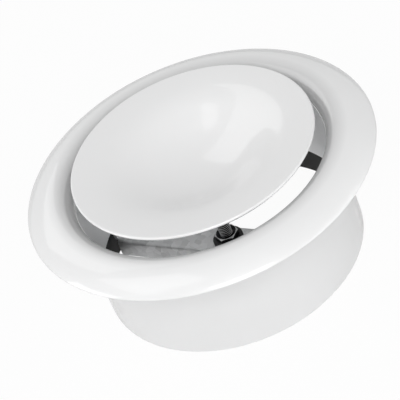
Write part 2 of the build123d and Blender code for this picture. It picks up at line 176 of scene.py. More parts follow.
# Enamel flow: the faint orange peel of baked paint, with slow drifts of tone and gloss.
enamel_flow, given, put = effect(
    "enamel flow",
    [
        ("Colour", "Color", (0.8, 0.8, 0.8, 1)),
        ("Drift", "Float", 0.03),
        ("Gloss", "Float", 0.12),
        ("Peel size", "Float", 700.0),
    ],
    [("Colour", "Color"), ("Roughness", "Float"), ("Height", "Float")],
)
where = node(enamel_flow, "TexCoord")
slow = node(enamel_flow, "TexNoise", Scale=22.0, Detail=3.0, Roughness=0.5)
peel = node(enamel_flow, "TexNoise", Detail=1.0, Roughness=0.4)
tone = node(enamel_flow, "MapRange", From_Min=0.3, From_Max=0.7)
shade = node(enamel_flow, "HueSaturation")
low = node(enamel_flow, "Math", operation="SUBTRACT")
low.inputs[0].default_value = 1.0
matt = node(enamel_flow, "Math", operation="MULTIPLY_ADD")
matt.inputs[1].default_value = 0.06
for source, target in (
    (where.outputs["Object"], slow.inputs["Vector"]),
    (where.outputs["Object"], peel.inputs["Vector"]),
    (given.outputs["Peel size"], peel.inputs["Scale"]),
    (slow.outputs["Fac"], tone.inputs["Value"]),
    (given.outputs["Drift"], low.inputs[1]),
    (low.outputs[0], tone.inputs["To Min"]),
    (tone.outputs[0], shade.inputs["Value"]),
    (given.outputs["Colour"], shade.inputs["Color"]),
    (shade.outputs[0], put.inputs["Colour"]),
    (slow.outputs["Fac"], matt.inputs[0]),
    (given.outputs["Gloss"], matt.inputs[2]),
    (matt.outputs[0], put.inputs["Roughness"]),
    (peel.outputs["Fac"], put.inputs["Height"]),
):
    enamel_flow.links.new(source, target)


def enamel(name, colour, gloss, drift=0.02, peel=0.02):
    """White stove enamel: a glossy baked coat over steel."""
    material, tree, surface = shader(name)
    flow = placed(tree, enamel_flow, Colour=colour, Drift=drift, Gloss=gloss)
    lift = node(tree, "Bump", Strength=peel, Distance=0.0002)
    tree.links.new(flow.outputs["Colour"], surface.inputs["Base Color"])
    tree.links.new(flow.outputs["Roughness"], surface.inputs["Roughness"])
    tree.links.new(flow.outputs["Height"], lift.inputs["Height"])
    tree.links.new(lift.outputs[0], surface.inputs["Normal"])
    surface.inputs["Coat Weight"].default_value = 1.0
    surface.inputs["Coat Roughness"].default_value = 0.03
    return material


COLLAR_R, COLLAR_WALL, COLLAR_END = 62.0, 0.6, -54.0
FIXING_R, FIXING_SHEET, FIXING_BEND = 75.6, 0.8, 1.6
SCREW_HOLES, SCREW_RING_R, SCREW_HOLE_R = 4, 69.5, 2.25
collar_enamel = enamel("collar enamel", (0.86, 0.862, 0.864, 1), 0.32)

bm = bmesh.new()
mouth = start(bm, COLLAR_R - COLLAR_WALL, FIXING_SHEET)
inner_end = run(bm, mouth, COLLAR_R - COLLAR_WALL, COLLAR_END)
outer_end = run(bm, inner_end, COLLAR_R, COLLAR_END)
under = run(bm, outer_end, COLLAR_R, -FIXING_BEND)
under = bend(bm, under, COLLAR_R + FIXING_BEND, -FIXING_BEND, -90)
rim_back = run(bm, under, FIXING_R, 0)
rim_front = run(bm, rim_back, FIXING_R, FIXING_SHEET)
bm.edges.new((rim_front, mouth))
soften(bm, [inner_end, outer_end], 0.2)
soften(bm, [rim_back, rim_front], 0.25)
soften(bm, [mouth], 1.6, 6)
turned(bm)
drills = bmesh.new()
for i in range(SCREW_HOLES):
    turn = Matrix.Rotation(radians(45 + 360 / SCREW_HOLES * i), 4, "Z")
    place = turn @ Matrix.Translation((SCREW_RING_R, 0, 0))
    bmesh.ops.create_cone(
        drills, cap_ends=True, segments=40, radius1=SCREW_HOLE_R, radius2=SCREW_HOLE_R, depth=8, matrix=place
    )
bm = cut(bm, drills)
finished("collar", bm, collar_enamel, "white_enamel", "mounting", "mounting_collar")

# ---------------------------------------------------------------- bell-mouth flange
# One pressed steel sheet: domed in front and hollow behind, turned in through a quarter
# bend to the throat, where its lip is beaded, and down to a narrow return at its outer
# edge. Enamelled, and held to the neck.
CREST_R, CREST_Z, THROAT_R, THROAT_END, LIP_BEAD = 65.8, 7.2, 59.4, -0.2, 0.45
EDGE_R, EDGE_Z, FLANGE_SHEET, FLANGE_END_R = 81.3, 1.2, 1.0, 81.97
EDGE_TURN_R, EDGE_TURN_Z, EDGE_ROUND = 81.75, 0.65, 0.3
flange_enamel = enamel("flange enamel", (0.87, 0.872, 0.874, 1), 0.3)

# Painted shade: the enamel's colour is darkened towards the bend of the throat, by
# radius, where shade falls. The bead of the lip, inside the throat's radius, is left
# out of the painted shade.
tree = flange_enamel.node_tree
where = node(tree, "TexCoord")
level = node(tree, "VectorMath", operation="MULTIPLY")
level.inputs[1].default_value = (1, 1, 0)
reach = node(tree, "VectorMath", operation="LENGTH")
bend_shade = node(tree, "MapRange", From_Min=0.0594, From_Max=0.0705, To_Min=0.66, To_Max=1.0)
bead = node(tree, "Math", operation="LESS_THAN")
bead.inputs[1].default_value = 0.05935
shade_level = node(tree, "Math", operation="MAXIMUM")
# Painted shade in the throat's bend, darker towards the throat; the bead keeps its full colour.
painted_bend_shade = node(tree, "HueSaturation")
tree.links.new(where.outputs["Object"], level.inputs[0])
tree.links.new(level.outputs[0], reach.inputs[0])
tree.links.new(reach.outputs["Value"], bend_shade.inputs["Value"])
tree.links.new(reach.outputs["Value"], bead.inputs[0])
tree.links.new(bend_shade.outputs[0], shade_level.inputs[0])
tree.links.new(bead.outputs[0], shade_level.inputs[1])
tree.links.new(shade_level.outputs[0], painted_bend_shade.inputs["Value"])
tree.links.new(tree.nodes["Group"].outputs["Colour"], painted_bend_shade.inputs["Color"])
tree.links.new(painted_bend_shade.outputs[0], tree.nodes["Principled BSDF"].inputs["Base Color"])

bm = bmesh.new()
throat_bend = CREST_R - THROAT_R
dome_r = ((EDGE_R - CREST_R) ** 2 + (CREST_Z - EDGE_Z) ** 2) / (2 * (CREST_Z - EDGE_Z))
dome_sweep = degrees(asin((EDGE_R - CREST_R) / dome_r))
lip = start(bm, THROAT_R, THROAT_END)
front = run(bm, lip, THROAT_R, CREST_Z - throat_bend - 2 * LIP_BEAD)
front = bend(bm, front, THROAT_R, CREST_Z - throat_bend - LIP_BEAD, -180, 8)
front = bend(bm, front, CREST_R, CREST_Z - throat_bend, -90, 18)
front = bend(bm, front, CREST_R, CREST_Z - dome_r, -dome_sweep, 22)
front = run(bm, front, EDGE_TURN_R, EDGE_TURN_Z)
edge_front = run(bm, front, FLANGE_END_R, 0.0)
edge_back = run(bm, edge_front, FLANGE_END_R - FLANGE_SHEET, 0.0)
back = start(bm, THROAT_R + FLANGE_SHEET, THROAT_END)
lip_back = back
back = run(bm, back, THROAT_R + FLANGE_SHEET, CREST_Z - throat_bend)
back = bend(bm, back, CREST_R, CREST_Z - throat_bend, -90, 18)
back = bend(bm, back, CREST_R, CREST_Z - dome_r, -dome_sweep, 22)
bm.edges.new((back, edge_back))
bm.edges.new((lip_back, lip))
soften(bm, [lip, lip_back], EDGE_ROUND)
soften(bm, [edge_front, edge_back], EDGE_ROUND)
soften(bm, [front], EDGE_ROUND)
turned(bm)
finished("bell_mouth", bm, flange_enamel, "white_enamel", "valve", "flange_ring", sharp=50)

# ---------------------------------------------------------------- neck sleeve
# A rolled tube of bright zinc-plated strip behind the flange, drawn to a near-mirror
# inside, with a small bead rolled in at its mouth where it takes the flange.
NECK_R, NECK_WALL, NECK_END, BEAD, BEAD_RISE = 59.4, 0.6, -40.0, 0.5, 0.3

# Drawn grain: fine lines that run one way in the metal, with faint broad bands.
drawn_grain, given, put = effect(
    "drawn grain",
    [("Vector", "Vector", None), ("Lines", "Float", 900.0), ("Bands", "Float", 60.0)],
    [("Lines", "Float"), ("Bands", "Float")],
)
for label in ("Lines", "Bands"):
    spread = node(drawn_grain, "TexNoise", Detail=4.0, Roughness=0.6)
    drawn_grain.links.new(given.outputs["Vector"], spread.inputs["Vector"])
    drawn_grain.links.new(given.outputs[label], spread.inputs["Scale"])
    drawn_grain.links.new(spread.outputs["Fac"], put.inputs[label])

# Round the axis: turns a place on the piece into (arc, height, radius), so that a
# pattern given in it runs round a tube or a turned part.
round_axis, given, put = effect("round the axis", [("Stretch", "Float", 0.02)], [("Vector", "Vector")])
where = node(round_axis, "TexCoord")
split = node(round_axis, "SeparateXYZ")
angle = node(round_axis, "Math", operation="ARCTAN2")
flat = node(round_axis, "Math", operation="MULTIPLY")
reach = node(round_axis, "VectorMath", operation="LENGTH")
level = node(round_axis, "CombineXYZ")
joined = node(round_axis, "CombineXYZ")
for source, target in (
    (where.outputs["Object"], split.inputs[0]),
    (split.outputs["Y"], angle.inputs[0]),
    (split.outputs["X"], angle.inputs[1]),
    (angle.outputs[0], flat.inputs[0]),
    (given.outputs["Stretch"], flat.inputs[1]),
    (split.outputs["X"], level.inputs["X"]),
    (split.outputs["Y"], level.inputs["Y"]),
    (level.outputs[0], reach.inputs[0]),
    (flat.outputs[0], joined.inputs["X"]),
    (split.outputs["Z"], joined.inputs["Y"]),
    (reach.outputs["Value"], joined.inputs["Z"]),
    (joined.outputs[0], put.inputs["Vector"]),
):
    round_axis.links.new(source, target)


def plated(name, colour, gloss, direction, lines=900.0, scratch=0.03, spread=0.12, spangle=0.0, metal=1.0):
    """Plated or bare metal: drawn grain along one direction, cloudy bands and maybe crystals."""
    material, tree, surface = shader(name)
    grain = placed(tree, drawn_grain, Lines=lines)
    if direction == "round":
        way = placed(tree, round_axis)
    else:
        where = node(tree, "TexCoord")
        way = node(tree, "Mapping", Rotation=(0, 0, -radians(direction)), Scale=(0.03, 1, 1))
        tree.links.new(where.outputs["Object"], way.inputs["Vector"])
    tree.links.new(way.outputs[0], grain.inputs["Vector"])
    clouds = node(tree, "MapRange", From_Min=0.3, From_Max=0.7, To_Min=gloss, To_Max=gloss + spread)
    tone = node(tree, "Mix", data_type="RGBA")
    tone.inputs["A"].default_value = (*[c * (0.86 - spangle * 0.6) for c in colour], 1)
    tone.inputs["B"].default_value = (*colour, 1)
    lift = node(tree, "Bump", Strength=scratch, Distance=0.0001)
    cloudy = grain.outputs["Bands"]
    if spangle:
        place = node(tree, "TexCoord")
        crystals = node(tree, "TexVoronoi", Scale=330.0)
        grey = node(tree, "RGBToBW")
        swing = node(tree, "MapRange", To_Min=-spangle, To_Max=spangle)
        mottled = node(tree, "Math", operation="ADD")
        tree.links.new(place.outputs["Object"], crystals.inputs["Vector"])
        tree.links.new(crystals.outputs["Color"], grey.inputs["Color"])
        tree.links.new(grey.outputs[0], swing.inputs["Value"])
        tree.links.new(swing.outputs[0], mottled.inputs[0])
        tree.links.new(cloudy, mottled.inputs[1])
        cloudy = mottled.outputs[0]
    tree.links.new(cloudy, clouds.inputs["Value"])
    tree.links.new(clouds.outputs[0], surface.inputs["Roughness"])
    tree.links.new(cloudy, tone.inputs["Factor"])
    tree.links.new(tone.outputs["Result"], surface.inputs["Base Color"])
    tree.links.new(grain.outputs["Lines"], lift.inputs["Height"])
    tree.links.new(lift.outputs[0], surface.inputs["Normal"])
    surface.inputs["Metallic"].default_value = metal
    return material


neck_steel = plated("neck bright zinc", (0.92, 0.925, 0.93), 0.3, "round", spread=0.03, metal=0.7)
bm = bmesh.new()
inner = start(bm, NECK_R, NECK_END)
bead = run(bm, inner, NECK_R, THROAT_END - 2 * BEAD)
bead = run(bm, bead, NECK_R - BEAD_RISE, THROAT_END - BEAD)
bead = bend(bm, bead, NECK_R - BEAD_RISE + BEAD, THROAT_END - BEAD, -125, 8)
outer_mouth = run(bm, bead, NECK_R + NECK_WALL, THROAT_END - BEAD)
outer = run(bm, outer_mouth, NECK_R + NECK_WALL, NECK_END)
bm.edges.new((outer, inner))
soften(bm, [inner, outer], 0.15)
turned(bm)
finished("neck", bm, neck_steel, "bright_steel", "valve", "neck_sleeve")

# ---------------------------------------------------------------- seals
# Two rings of closed-cell black foam, one glued in the hollow of the flange against
# the ceiling and one behind the disc's rim, and a rubber cuff on the end of the neck,
# whose black is partly painted shade: it stands where shade falls inside the collar.
foam, tree, surface = shader("black cell foam")
where = node(tree, "TexCoord")
cells = node(tree, "TexVoronoi", Scale=1500.0)
clumps = node(tree, "TexNoise", Scale=300.0, Detail=2.0)
pores = node(tree, "MapRange", From_Min=0.1, From_Max=0.55)
skin = node(tree, "Mix", data_type="RGBA")
skin.inputs["A"].default_value = (0.012, 0.012, 0.013, 1)
skin.inputs["B"].default_value = (0.06, 0.06, 0.062, 1)
dull = node(tree, "MapRange", To_Min=0.75, To_Max=0.98)
lift = node(tree, "Bump", Strength=0.5, Distance=0.0003)
for source, target in (
    (where.outputs["Object"], cells.inputs["Vector"]),
    (where.outputs["Object"], clumps.inputs["Vector"]),
    (cells.outputs["Distance"], pores.inputs["Value"]),
    (pores.outputs[0], skin.inputs["Factor"]),
    (skin.outputs["Result"], surface.inputs["Base Color"]),
    (clumps.outputs["Fac"], dull.inputs["Value"]),
    (dull.outputs[0], surface.inputs["Roughness"]),
    (pores.outputs[0], lift.inputs["Height"]),
    (lift.outputs[0], surface.inputs["Normal"]),
):
    tree.links.new(source, target)

# Black rubber of the cuff, with its sheen kept low: partly the rubber's own black, partly painted shade
# inside the collar.
rubber, tree, surface = shader("black moulded rubber")
flow = placed(tree, enamel_flow, Colour=(0.011, 0.011, 0.0115, 1), Drift=0.4, Gloss=0.42, Peel_size=2200.0)
lift = node(tree, "Bump", Strength=0.2, Distance=0.0001)
tree.links.new(flow.outputs["Colour"], surface.inputs["Base Color"])
tree.links.new(flow.outputs["Roughness"], surface.inputs["Roughness"])
tree.links.new(flow.outputs["Height"], lift.inputs["Height"])
tree.links.new(lift.outputs[0], surface.inputs["Normal"])
surface.inputs["Specular IOR Level"].default_value = 0.25


def seal_ring(name, body, cad_node, inner_r, outer_r, bottom, tops, material=foam, slot="foam"):
    """Ring of a four-sided section with soft corners; tops are its inner and outer heights."""
    bm = bmesh.new()
    corners = [start(bm, inner_r, bottom)]
    for r, z in ((outer_r, bottom), (outer_r, tops[1]), (inner_r, tops[0])):
        corners.append(run(bm, corners[-1], r, z))
    bm.edges.new((corners[-1], corners[0]))
    soften(bm, corners, 0.25)
    turned(bm)
    finished(name, bm, material, slot, body, cad_node)


seal_ring("ceiling_gasket", "valve", "flange_gasket", 76.6, 79.3, 0.0, (3.2, 1.35))
seal_ring("neck_cuff", "valve", "neck_seal", 60.02, 61.0, -53.9, (-36.6, -36.6), rubber, "black_rubber")
seal_ring("rim_seal", "disc", "disc_seal", 51.5, 55.3, 9.6, (10.89, 11.42))

# ---------------------------------------------------------------- spring clips
# Three leaves of hardened spring strip, riveted to the outside of the neck. The belly
# of each presses on the inside of the collar and holds the valve in it.
CLIPS, CLIP_SHEET, CLIP_TOP, CLIP_FLAT, CLIP_END = 3, 0.4, -13.5, -21.0, -35.0
CLIP_SWEEP, CLIP_GAP, CLIP_TIP_ROUND, SHARP_TURN = 10.0, 0.02, 2.4, 1.2
spring_strip = plated("blued spring strip", (0.42, 0.43, 0.45), 0.24, "round", lines=1400.0, scratch=0.05)

leaf_r = NECK_R + NECK_WALL
belly_rise, belly_half = 0.65, (CLIP_FLAT - CLIP_END) / 2
belly_r = (belly_rise ** 2 + belly_half ** 2) / (2 * belly_rise)
belly_sweep = 2 * degrees(asin(belly_half / belly_r))
belly_centre = (leaf_r + belly_rise - belly_r, CLIP_FLAT - belly_half)
for i in range(CLIPS):
    bm = bmesh.new()
    ends = []
    for face_r in (leaf_r + CLIP_GAP, leaf_r + CLIP_SHEET):
        ends.append(start(bm, face_r, CLIP_TOP))
        point = run(bm, ends[-1], face_r, CLIP_FLAT)
        ends.append(bend(bm, point, *belly_centre, -belly_sweep, 12))
    bm.edges.new((ends[0], ends[2]))
    bm.edges.new((ends[1], ends[3]))
    turned(bm, steps=12, sweep=CLIP_SWEEP)
    tip_corners = [
        e for e in bm.edges
        if abs(e.calc_face_angle(0)) > SHARP_TURN and e.calc_length() < 0.5
        and abs(e.verts[0].co.z - e.verts[1].co.z) < 0.05
    ]
    rounded(bm, tip_corners, CLIP_TIP_ROUND, 5, "EDGES")
    swung(bm, 360 / CLIPS * i - CLIP_SWEEP / 2)
    finished(f"spring_leaf_{i + 1}", bm, spring_strip, "spring_steel", "valve", f"spring_clip_{i + 1}")

# ---------------------------------------------------------------- rivets
# Plain aluminium rivets with low domed heads inside the neck, set down over the
# springs or the neck outside: one to each spring and two to each end of the bridge.
RIVET_HEAD_R, RIVET_SHANK_R, RIVET_SET_R, DOME_HEIGHT, DOME_R = 2.7, 1.5, 2.3, 0.7, 6.45
SPRING_RIVET_Z, SPRING_RIVET_END = -17.0, 60.95
rivet_alloy = plated("rivet aluminium", (0.70, 0.71, 0.72), 0.28, "round", lines=500.0, scratch=0.04)


def rivet(bm, angle, height, head_r, set_r, outermost):
    """One rivet along a radius: domed head at head_r, set head from set_r to outermost."""
    blank = bmesh.new()
    crown = start(blank, 0, -DOME_HEIGHT)
    brim = bend(blank, crown, 0, DOME_R - DOME_HEIGHT, 24, 6)
    brim.co = (RIVET_HEAD_R, 0, -0.15)
    point = run(blank, brim, RIVET_HEAD_R, 0)
    grip, length = set_r - head_r, outermost - head_r
    for r, z in (
        (RIVET_SHANK_R, 0),
        (RIVET_SHANK_R, grip),
        (RIVET_SET_R, grip),
        (RIVET_SET_R - 0.1, length - 0.12),
        (RIVET_SET_R - 0.7, length),
        (0, length),
    ):
        point = run(blank, point, r, z)
    turned(blank, steps=36)
    upright = Matrix.Translation((head_r, 0, height)) @ Matrix.Rotation(radians(90), 4, "Y")
    outwards = Matrix.Rotation(radians(angle), 4, "Z") @ upright
    bmesh.ops.transform(blank, matrix=outwards, verts=blank.verts[:])
    mesh = bpy.data.meshes.new("one rivet")
    blank.to_mesh(mesh)
    blank.free()
    bm.from_mesh(mesh)
    bpy.data.meshes.remove(mesh)


bm = bmesh.new()
for i in range(CLIPS):
    head_r = sqrt(NECK_R ** 2 - RIVET_HEAD_R ** 2)
    rivet(bm, 360 / CLIPS * i, SPRING_RIVET_Z, head_r, leaf_r + CLIP_SHEET, SPRING_RIVET_END)
finished("spring_rivets", bm, rivet_alloy, "rivet_metal", "valve", "clip_rivets")

# ---------------------------------------------------------------- bridge
# A steel strap across the end of the neck, zinc-plated, which carries the threaded hub.
# Its long edges are folded down to stiffen it and its ends are bent up along the wall,
# where two rivets hold each of them.
BRIDGE_TURN, STRAP_TOP, STRAP_SHEET, STRAP_END = 140.0, -45.0, 1.2, 57.3
STRAP_HALF, LIP_FOOT, FOLD_R = 8.5, -53.9, 1.6
EAR_R, EAR_TOP, EAR_HALF, EAR_TOE_R, EAR_BEND_R, EAR_CORNER = NECK_R - 0.05, -29.0, 6.8, 50.0, 3.0, 2.0
EAR_RIVET_Z, EAR_RIVET_TURN, EAR_RIVET_END = -33.5, 4.4, 60.9
bridge_steel = plated(
    "bridge zinc plate", (0.95, 0.955, 0.96), 0.5, BRIDGE_TURN, lines=700.0, scratch=0.06, spangle=0.4
)

bm = bmesh.new()
inside, fold_z = STRAP_HALF - STRAP_SHEET, STRAP_TOP - FOLD_R
first = start(bm, STRAP_HALF, LIP_FOOT)
point = run(bm, first, STRAP_HALF, fold_z)
point = bend(bm, point, STRAP_HALF - FOLD_R, fold_z, 90, 6)
point = run(bm, point, FOLD_R - STRAP_HALF, STRAP_TOP)
point = bend(bm, point, FOLD_R - STRAP_HALF, fold_z, 90, 6)
point = run(bm, point, -STRAP_HALF, LIP_FOOT)
point = run(bm, point, -inside, LIP_FOOT)
point = run(bm, point, -inside, fold_z)
point = bend(bm, point, FOLD_R - STRAP_HALF, fold_z, -90, 4)
point = run(bm, point, STRAP_HALF - FOLD_R, STRAP_TOP - STRAP_SHEET)
point = bend(bm, point, STRAP_HALF - FOLD_R, fold_z, -90, 4)
point = run(bm, point, inside, LIP_FOOT)
bm.edges.new((point, first))
section = bmesh.ops.contextual_create(bm, geom=bm.edges[:])["faces"]
swung(bm, 90)
bmesh.ops.translate(bm, vec=(-STRAP_END, 0, 0), verts=bm.verts[:])
pulled = bmesh.ops.extrude_face_region(bm, geom=section)["geom"]
far_end = [v for v in pulled if isinstance(v, bmesh.types.BMVert)]
bmesh.ops.translate(bm, vec=(2 * STRAP_END, 0, 0), verts=far_end)
bmesh.ops.recalc_face_normals(bm, faces=bm.faces[:])
cut_edges = [e for e in bm.edges if abs(e.verts[0].co.x - e.verts[1].co.x) < 0.01]
rounded(bm, cut_edges, 0.15, 2, "EDGES")
strap = bpy.data.meshes.new("strap")
bm.to_mesh(strap)
bm.free()
whole = bmesh.new()
whole.from_mesh(strap)
bpy.data.meshes.remove(strap)
under, over = STRAP_TOP - STRAP_SHEET + 0.01, STRAP_TOP - 0.01
bend_r, bend_z = EAR_R - EAR_BEND_R, under + EAR_BEND_R
for side in (0, 180):
    bm = bmesh.new()
    heel = start(bm, EAR_TOE_R, under)
    point = run(bm, heel, bend_r, under)
    point = bend(bm, point, bend_r, bend_z, 90, 6)
    outer_top = run(bm, point, EAR_R, EAR_TOP)
    inner_top = run(bm, outer_top, EAR_R - STRAP_SHEET, EAR_TOP)
    point = run(bm, inner_top, EAR_R - STRAP_SHEET, bend_z)
    point = bend(bm, point, bend_r, bend_z, -90, 6)
    toe = run(bm, point, EAR_TOE_R, over)
    bm.edges.new((toe, heel))
    soften(bm, [outer_top, inner_top], 0.2)
    turned(bm, steps=10, sweep=2 * EAR_HALF)
    corners = [
        e for e in bm.edges
        if e.calc_face_angle(0) > SHARP_TURN and min(v.co.z for v in e.verts) > EAR_TOP - 0.3
        and abs(e.verts[0].co.xy.length - e.verts[1].co.xy.length) > 0.3
    ]
    rounded(bm, corners, EAR_CORNER, 5, "EDGES")
    swung(bm, side - EAR_HALF)
    ear = bpy.data.meshes.new("ear")
    bm.to_mesh(ear)
    bm.free()
    whole.from_mesh(ear)
    bpy.data.meshes.remove(ear)
swung(whole, BRIDGE_TURN)
finished("bridge_strap", whole, bridge_steel, "bright_steel", "valve", "bridge")

bm = bmesh.new()
head_r = sqrt((EAR_R - STRAP_SHEET) ** 2 - RIVET_HEAD_R ** 2)
for arm in (BRIDGE_TURN, BRIDGE_TURN + 180):
    for side in (-EAR_RIVET_TURN, EAR_RIVET_TURN):
        rivet(bm, arm + side, EAR_RIVET_Z, head_r, leaf_r, EAR_RIVET_END)
finished("bridge_rivet_set", bm, rivet_alloy, "rivet_metal", "valve", "bridge_rivets")

# ---------------------------------------------------------------- hub and captive nut
# A black moulded bush pressed through the strap and spread below it. A steel hexagon
# nut sits in its pocket, a little proud, and the spindle turns in the nut's thread.
HUB_R, HUB_WAIST_R, HUB_BORE_R, HUB_TOP, HUB_BOTTOM = 7.2, 6.5, 3.5, -43.2, -47.8
NUT_FLATS, NUT_HEIGHT, NUT_TOP, NUT_TURN = 10.0, 5.0, -40.4, BRIDGE_TURN + 30
THREAD_R, COUNTERSINK, CHAMFER_SLOPE = 3.0, 0.45, 0.577

black_bush, tree, surface = shader("black moulded bush")
flow = placed(tree, enamel_flow, Colour=(0.008, 0.008, 0.0085, 1), Drift=0.3, Gloss=0.38, Peel_size=1800.0)
lift = node(tree, "Bump", Strength=0.12, Distance=0.0001)
tree.links.new(flow.outputs["Colour"], surface.inputs["Base Color"])
tree.links.new(flow.outputs["Roughness"], surface.inputs["Roughness"])
tree.links.new(flow.outputs["Height"], lift.inputs["Height"])
tree.links.new(lift.outputs[0], surface.inputs["Normal"])

# Bared steel: bright where a part was turned or rubbed after blackening. One mask picks
# out chamfers by how far they lean, the other picks out whatever lies beyond a radius.
turned_faces, given, put = effect(
    "turned faces", [("Lean", "Float", 0.866), ("Scatter", "Float", 1500.0)], [("Mask", "Float")]
)
where = node(turned_faces, "TexCoord")
split = node(turned_faces, "SeparateXYZ")
upright = node(turned_faces, "Math", operation="ABSOLUTE")
picked = node(turned_faces, "Math", operation="COMPARE")
picked.inputs[2].default_value = 0.06
scatter = node(turned_faces, "TexNoise", Detail=2.0)
patch = node(turned_faces, "MapRange", From_Min=0.3, From_Max=0.6, To_Min=0.6, To_Max=1.0)
both = node(turned_faces, "Math", operation="MULTIPLY")
for source, target in (
    (where.outputs["Normal"], split.inputs[0]),
    (split.outputs["Z"], upright.inputs[0]),
    (upright.outputs[0], picked.inputs[0]),
    (given.outputs["Lean"], picked.inputs[1]),
    (where.outputs["Object"], scatter.inputs["Vector"]),
    (given.outputs["Scatter"], scatter.inputs["Scale"]),
    (scatter.outputs["Fac"], patch.inputs["Value"]),
    (picked.outputs[0], both.inputs[0]),
    (patch.outputs[0], both.inputs[1]),
    (both.outputs[0], put.inputs["Mask"]),
):
    turned_faces.links.new(source, target)

worn_crests, given, put = effect(
    "worn crests", [("Inner", "Float", 0.00275), ("Outer", "Float", 0.00293)], [("Mask", "Float")]
)
around = placed(worn_crests, round_axis)
split = node(worn_crests, "SeparateXYZ")
rise = node(worn_crests, "MapRange")
for source, target in (
    (around.outputs["Vector"], split.inputs[0]),
    (split.outputs["Z"], rise.inputs["Value"]),
    (given.outputs["Inner"], rise.inputs["From Min"]),
    (given.outputs["Outer"], rise.inputs["From Max"]),
    (rise.outputs[0], put.inputs["Mask"]),
):
    worn_crests.links.new(source, target)


def oxide(name, dark, bare, gloss, wear):
    """Blackened steel, oiled, with bare metal where the given effect says it shows."""
    material, tree, surface = shader(name)
    rubbed = placed(tree, wear)
    black = (dark, dark, dark * 1.03, 1)
    flow = placed(tree, enamel_flow, Colour=black, Drift=0.3, Gloss=gloss, Peel_size=1500.0)
    tone = node(tree, "Mix", data_type="RGBA")
    tone.inputs["B"].default_value = (bare, bare, bare, 1)
    lift = node(tree, "Bump", Strength=0.15, Distance=0.0001)
    tree.links.new(rubbed.outputs["Mask"], tone.inputs["Factor"])
    tree.links.new(flow.outputs["Colour"], tone.inputs["A"])
    tree.links.new(tone.outputs["Result"], surface.inputs["Base Color"])
    tree.links.new(flow.outputs["Roughness"], surface.inputs["Roughness"])
    tree.links.new(flow.outputs["Height"], lift.inputs["Height"])
    tree.links.new(lift.outputs[0], surface.inputs["Normal"])
    surface.inputs["Metallic"].default_value = 0.9
    return material


nut_oxide = oxide("nut black oxide", 0.012, 0.75, 0.3, turned_faces)


def hexagon(bottom, height, across=NUT_FLATS):
    """Six-sided bar standing on the axis, one corner towards +X."""
    bm = bmesh.new()
    corner = across / sqrt(3)
    bmesh.ops.create_cone(bm, cap_ends=True, segments=6, radius1=corner, radius2=corner, depth=height)
    swung(bm, 90)
    bmesh.ops.translate(bm, vec=(0, 0, bottom + height / 2), verts=bm.verts[:])
    return bm


def hexagon_nut(top, height, bore=THREAD_R + 0.03):
    """Nut: a hexagon bar turned off at 30 degrees on both faces, with a countersunk bore."""
    bottom, face_r, outer_r = top - height, NUT_FLATS / 2 - 0.2, NUT_FLATS / sqrt(3) + 0.1
    drop = (outer_r - face_r) * CHAMFER_SLOPE
    blank = bmesh.new()
    first = start(blank, bore, bottom + COUNTERSINK)
    point = first
    for r, z in (
        (bore + COUNTERSINK, bottom),
        (face_r, bottom),
        (outer_r, bottom + drop),
        (outer_r, top - drop),
        (face_r, top),
        (bore + COUNTERSINK, top),
        (bore, top - COUNTERSINK),
    ):
        point = run(blank, point, r, z)
    blank.edges.new((point, first))
    turned(blank, steps=96)
    return cut(blank, hexagon(bottom - 1, height + 2), "INTERSECT")


bm = bmesh.new()
first = start(bm, HUB_BORE_R, HUB_BOTTOM)
corners = [first]
for r, z in (
    (HUB_R, HUB_BOTTOM),
    (HUB_R, STRAP_TOP - STRAP_SHEET),
    (HUB_WAIST_R, STRAP_TOP - STRAP_SHEET),
    (HUB_WAIST_R, STRAP_TOP),
    (HUB_R, STRAP_TOP),
    (HUB_R, HUB_TOP),
    (HUB_BORE_R, HUB_TOP),
):
    corners.append(run(bm, corners[-1], r, z))
bm.edges.new((corners[-1], first))
soften(bm, [corners[1], corners[6]], 0.45, 4)
turned(bm, steps=96)
pocket = hexagon(NUT_TOP - NUT_HEIGHT, 8.0, NUT_FLATS + 0.05)
swung(pocket, NUT_TURN)
bm = cut(bm, pocket)
finished("hub", bm, black_bush, "black_bush", "valve", "bridge_hub")
bm = hexagon_nut(NUT_TOP, NUT_HEIGHT)
swung(bm, NUT_TURN)
finished("hub_nut", bm, nut_oxide, "black_steel", "valve", "captive_nut", sharp=25)

# ---------------------------------------------------------------- spindle
# M6 rod, rolled thread of 1 mm pitch, blackened. Its front end is screwed and jammed
# in the disc's boss; a clip in a groove at its tail keeps it from leaving the hub.
SPINDLE_TOP, SPINDLE_TAIL, GROOVE_TOP, GROOVE_R, GROOVE_WIDTH = -4.4, -53.4, -52.0, 2.3, 0.6
ROOT_R, CREST_OUT_R, PITCH, THREAD_STEPS = THREAD_R - 0.6, THREAD_R - 0.02, 1.0, 32
rod_oxide = oxide("spindle black oxide", 0.006, 0.6, 0.25, worn_crests)

bm = bmesh.new()
turns = int(SPINDLE_TOP - GROOVE_TOP + 2)
point = start(bm, ROOT_R, 0.0)
for r, z in ((ROOT_R, 0.12), (CREST_OUT_R, 0.44), (CREST_OUT_R, 0.56), (ROOT_R, 0.88), (ROOT_R, PITCH)):
    point = run(bm, point, r, z)
bmesh.ops.spin(
    bm, geom=bm.verts[:] + bm.edges[:], cent=(0, 0, 0), axis=(0, 0, 1), angle=2 * pi * turns,
    steps=THREAD_STEPS * turns, dvec=(0, 0, PITCH / THREAD_STEPS),
)
bmesh.ops.remove_doubles(bm, verts=bm.verts[:], dist=0.002)
bmesh.ops.translate(bm, vec=(0, 0, GROOVE_TOP - 0.2), verts=bm.verts[:])
for height, side in ((GROOVE_TOP + PITCH, -1), (SPINDLE_TOP, 1)):
    rod = bm.verts[:] + bm.edges[:] + bm.faces[:]
    bmesh.ops.bisect_plane(bm, geom=rod, plane_co=(0, 0, height), plane_no=(0, 0, side), clear_outer=True)
bmesh.ops.holes_fill(bm, edges=bm.edges[:], sides=0)
bmesh.ops.recalc_face_normals(bm, faces=bm.faces[:])
tail = bmesh.new()
point = start(tail, 0, GROOVE_TOP + 1.2)
